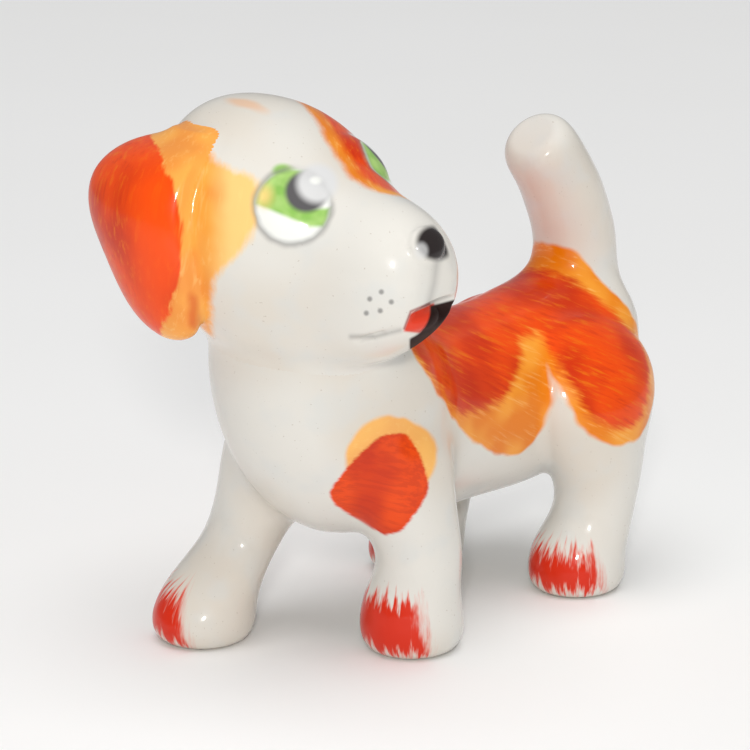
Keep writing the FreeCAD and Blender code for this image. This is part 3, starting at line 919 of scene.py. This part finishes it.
def head_material():
    graph = Graph("painted_glaze_head")
    real = real_millimetres(graph)
    head = head_coordinates(graph, real)
    face = face_coordinates(graph, head)
    folded = face_coordinates(graph, mirrored(graph, head))
    colour = white_glaze(graph, head)
    colour, brow = paint_brow(graph, head, colour)
    colour, cheek = paint_cheek(graph, head, face, colour)
    left_side = graph.ramp(graph.split(head)[1], 0.0, 1.0)
    right_side = graph.minus(1.0, left_side)
    colour = paint_eye(graph, folded, right_side, colour, EYE, 1, True)
    colour = paint_eye(graph, folded, left_side, colour, FAR_EYE, -1, False)
    colour, dull = paint_muzzle(graph, head, face, folded, colour)
    material = finish_glaze(graph, real, colour, graph.math("MAXIMUM", brow, cheek))
    dull_part(graph, dull)
    return material


def ear_material():
    """The ears: red-orange, with a yellow-orange wash along the front edge."""
    graph = Graph("ear_glaze")
    real = real_millimetres(graph)
    head = head_coordinates(graph, real)
    folded = face_coordinates(graph, mirrored(graph, head))
    across, up, _ = graph.split(wobble(graph, folded))
    streak = streaks(graph, folded, (0, 0, math.radians(80)), (0.09, 0.9, 0.9))
    border = ear_paint_border(graph, across, up)
    border = graph.brushed(border, streak, 1.8)
    red = graph.inside(border, 1.0)
    drip = graph.stroke(across, up, *EAR_DRIP, 0.9)
    drip = graph.times(graph.inside(drip, 1.6), 0.5)
    wash = graph.mix(drip, yellow_paint(graph, streak, head, 0.2), RED_ORANGE)
    middle = graph.inside(graph.ellipse(across, up, EAR_MIDDLE, EAR_MIDDLE_RADII), 6.0)
    red_tone = graph.mix(graph.times(middle, 0.85), red_paint(graph, streak, head), ORANGE)
    colour = graph.mix(red, wash, red_tone)
    return finish_glaze(graph, real, colour, red)


# ---------------------------------------------------------------- stage, camera and light
CAMERA_AZIMUTH = 43.92
CAMERA_LIFT = 15.42
CAMERA_DISTANCE = 0.6
CAMERA_LENS = 151.2
CAMERA_AIM = Vector((-11.9, -0.8, -6.1)) * MM     # from the middle of the object
# Each light: azimuth and elevation (degrees), distance and size (m), power (W), colour, seen in the glaze.
LIGHTS = {
    "key": (42, 22, 0.9, 0.10, 3.1, (1.0, 0.985, 0.96), True),
    "fill": (95, 28, 1.1, 0.7, 0.4, (0.97, 0.99, 1.0), False),
    "top": (40, 84, 5.0, 5.0, 168.0, (1.0, 1.0, 1.0), False),
}
WORLD_STRENGTH = 0.3
FLOOR_REACH = 4.0


def aim(thing, at):
    thing.rotation_euler = (at - thing.location).to_track_quat("-Z", "Y").to_euler()


def around(centre, azimuth, elevation, distance):
    """A place round the object: azimuth 0 is in front of it, -Y, and 90 is on its +X side."""
    turn, lift = math.radians(azimuth), math.radians(elevation)
    back = Vector((math.sin(turn) * math.cos(lift), -math.cos(turn) * math.cos(lift), math.sin(lift)))
    return centre + back * distance


def add_camera(centre):
    data = bpy.data.cameras.new("camera")
    data.lens = CAMERA_LENS
    data.sensor_width = 36
    camera = bpy.data.objects.new("camera", data)
    bpy.context.scene.collection.objects.link(camera)
    target = centre + CAMERA_AIM
    camera.location = around(target, CAMERA_AZIMUTH, CAMERA_LIFT, CAMERA_DISTANCE)
    aim(camera, target)
    bpy.context.scene.camera = camera


def add_light(name, centre, azimuth, elevation, distance, size, power, colour, seen_in_glaze):
    data = bpy.data.lights.new(name, "AREA")
    data.shape = "DISK"
    data.size = size
    data.energy = power
    data.color = colour
    light = bpy.data.objects.new(name, data)
    bpy.context.scene.collection.objects.link(light)
    light.visible_glossy = seen_in_glaze
    light.location = around(centre, azimuth, elevation, distance)
    aim(light, centre)


def add_floor():
    """A large pale sheet under the figurine, very slightly mottled."""
    mesh = bpy.data.meshes.new("floor")
    corners = [(x * FLOOR_REACH, y * FLOOR_REACH, 0) for x, y in ((-1, -1), (1, -1), (1, 1), (-1, 1))]
    mesh.from_pydata(corners, [], [(0, 1, 2, 3)])
    floor = bpy.data.objects.new("floor", mesh)
    bpy.context.scene.collection.objects.link(floor)
    graph = Graph("floor_paper")
    tone, _ = graph.noise(graph.place, 6.0, 2.0)
    graph.feed(graph.shader.inputs["Base Color"], graph.mix(tone, PAPER, PAPER_LIGHT))
    graph.shader.inputs["Roughness"].default_value = 0.7
    mesh.materials.append(graph.material)


def add_world():
    world = bpy.data.worlds.new("studio")
    world.use_nodes = True
    background = world.node_tree.nodes["Background"]
    background.inputs["Color"].default_value = (1.0, 1.0, 1.0, 1.0)
    background.inputs["Strength"].default_value = WORLD_STRENGTH
    bpy.context.scene.world = world


# ---------------------------------------------------------------- build
def main():
    pieces = cast_pieces()
    body, head, ear = body_material(), head_material(), ear_material()
    for name, piece in pieces.items():
        is_ear = name.startswith("ear")
        material = ear if is_ear else head if name == "head" else body
        piece.data.materials.append(material)
        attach(piece, "root")
        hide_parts(name)
    centre = (cad_low + cad_high) / 2
    add_floor()
    add_world()
    add_camera(centre)
    for name, settings in LIGHTS.items():
        add_light(name, centre, *settings)
    bpy.context.scene.view_settings.view_transform = "Standard"


main()
